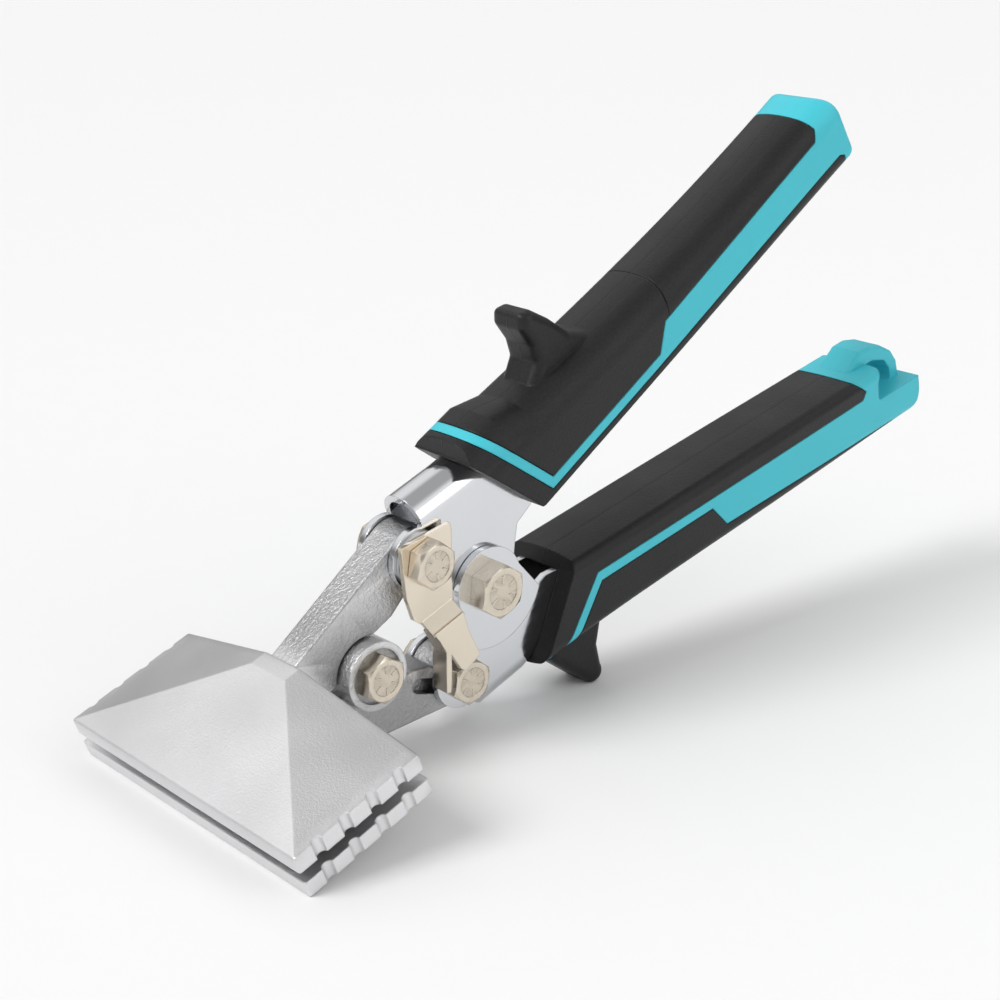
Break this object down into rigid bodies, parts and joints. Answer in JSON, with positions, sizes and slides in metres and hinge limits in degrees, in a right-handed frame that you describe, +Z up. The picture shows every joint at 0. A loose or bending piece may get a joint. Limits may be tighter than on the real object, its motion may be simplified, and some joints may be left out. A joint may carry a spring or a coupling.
{
  "type": "compound sheet metal hand seamer",
  "caption": "Compound-leverage hand seamer for bending sheet metal edges: wide notched jaws, four-bar linkage, swinging latch and two moulded grips with a hang loop.",
  "frame": {"origin": "middle of the footprint, on the floor plane that the lower jaw's front edge and the finger guard stand on", "axes": "+X from the jaws towards the handles, +Y away from the bolt heads, +Z up"},
  "size_m": [0.2158, 0.0762, 0.1258],
  "materials": {
    "jaw": "satin",
    "channel": "polished",
    "fastener": "nickel plated",
    "latch": "nickel plated",
    "washer": "plain",
    "spring": "oiled",
    "inlay": "matte",
    "cover": "fine texture"
  },
  "bodies": {
    "lower_handle": {"lower_channel": "channel", "lower_grip_core": "inlay", "lower_top_cover": "cover", "lower_finger_cover": "cover", "handle_pivot_bolt": "fastener", "handle_pivot_nut": "fastener", "tang_bolt": "fastener", "tang_nut": "fastener", "spring_sleeve": "washer", "opening_spring": "spring"},
    "upper_handle": {"upper_channel": "channel", "upper_grip_core": "inlay", "upper_thumb_cover": "cover", "upper_rear_cover": "cover", "upper_collar_cover": "cover"},
    "lower_jaw": {"lower_jaw": "jaw", "jaw_pivot_bolt": "fastener", "jaw_pivot_nut": "fastener"},
    "upper_jaw": {"upper_jaw": "jaw", "arm_bolt": "fastener", "arm_nut": "fastener", "latch_washer": "washer"},
    "latch": {"latch": "latch"}
  },
  "joints": [
    {"name": "handle_pivot", "type": "hinge", "parent": "lower_handle", "child": "upper_handle", "pos_m": [-0.03441, 0, 0.0331], "axis": [0, -1, 0], "range_deg": [-4.5, 22.5]},
    {"name": "tang_pivot", "type": "hinge", "parent": "lower_handle", "child": "lower_jaw", "pos_m": [-0.04045, 0, 0.01368], "axis": [0, -1, 0], "range_deg": [-3.81, 19.07]},
    {"name": "jaw_pivot", "type": "hinge", "parent": "lower_jaw", "child": "upper_jaw", "pos_m": [-0.06423, 0, 0.02121], "axis": [0, 1, 0], "range_deg": [-3.13, 15.64]},
    {"name": "latch_swing", "type": "hinge", "parent": "upper_jaw", "child": "latch", "pos_m": [-0.05216, 0, 0.04303], "axis": [0, 1, 0], "range_deg": [0, 18]}
  ],
  "couplings": [
    {"joint": "tang_pivot", "follows": "handle_pivot", "ratio": 0.8475},
    {"joint": "jaw_pivot", "follows": "handle_pivot", "ratio": 0.695}
  ]
}
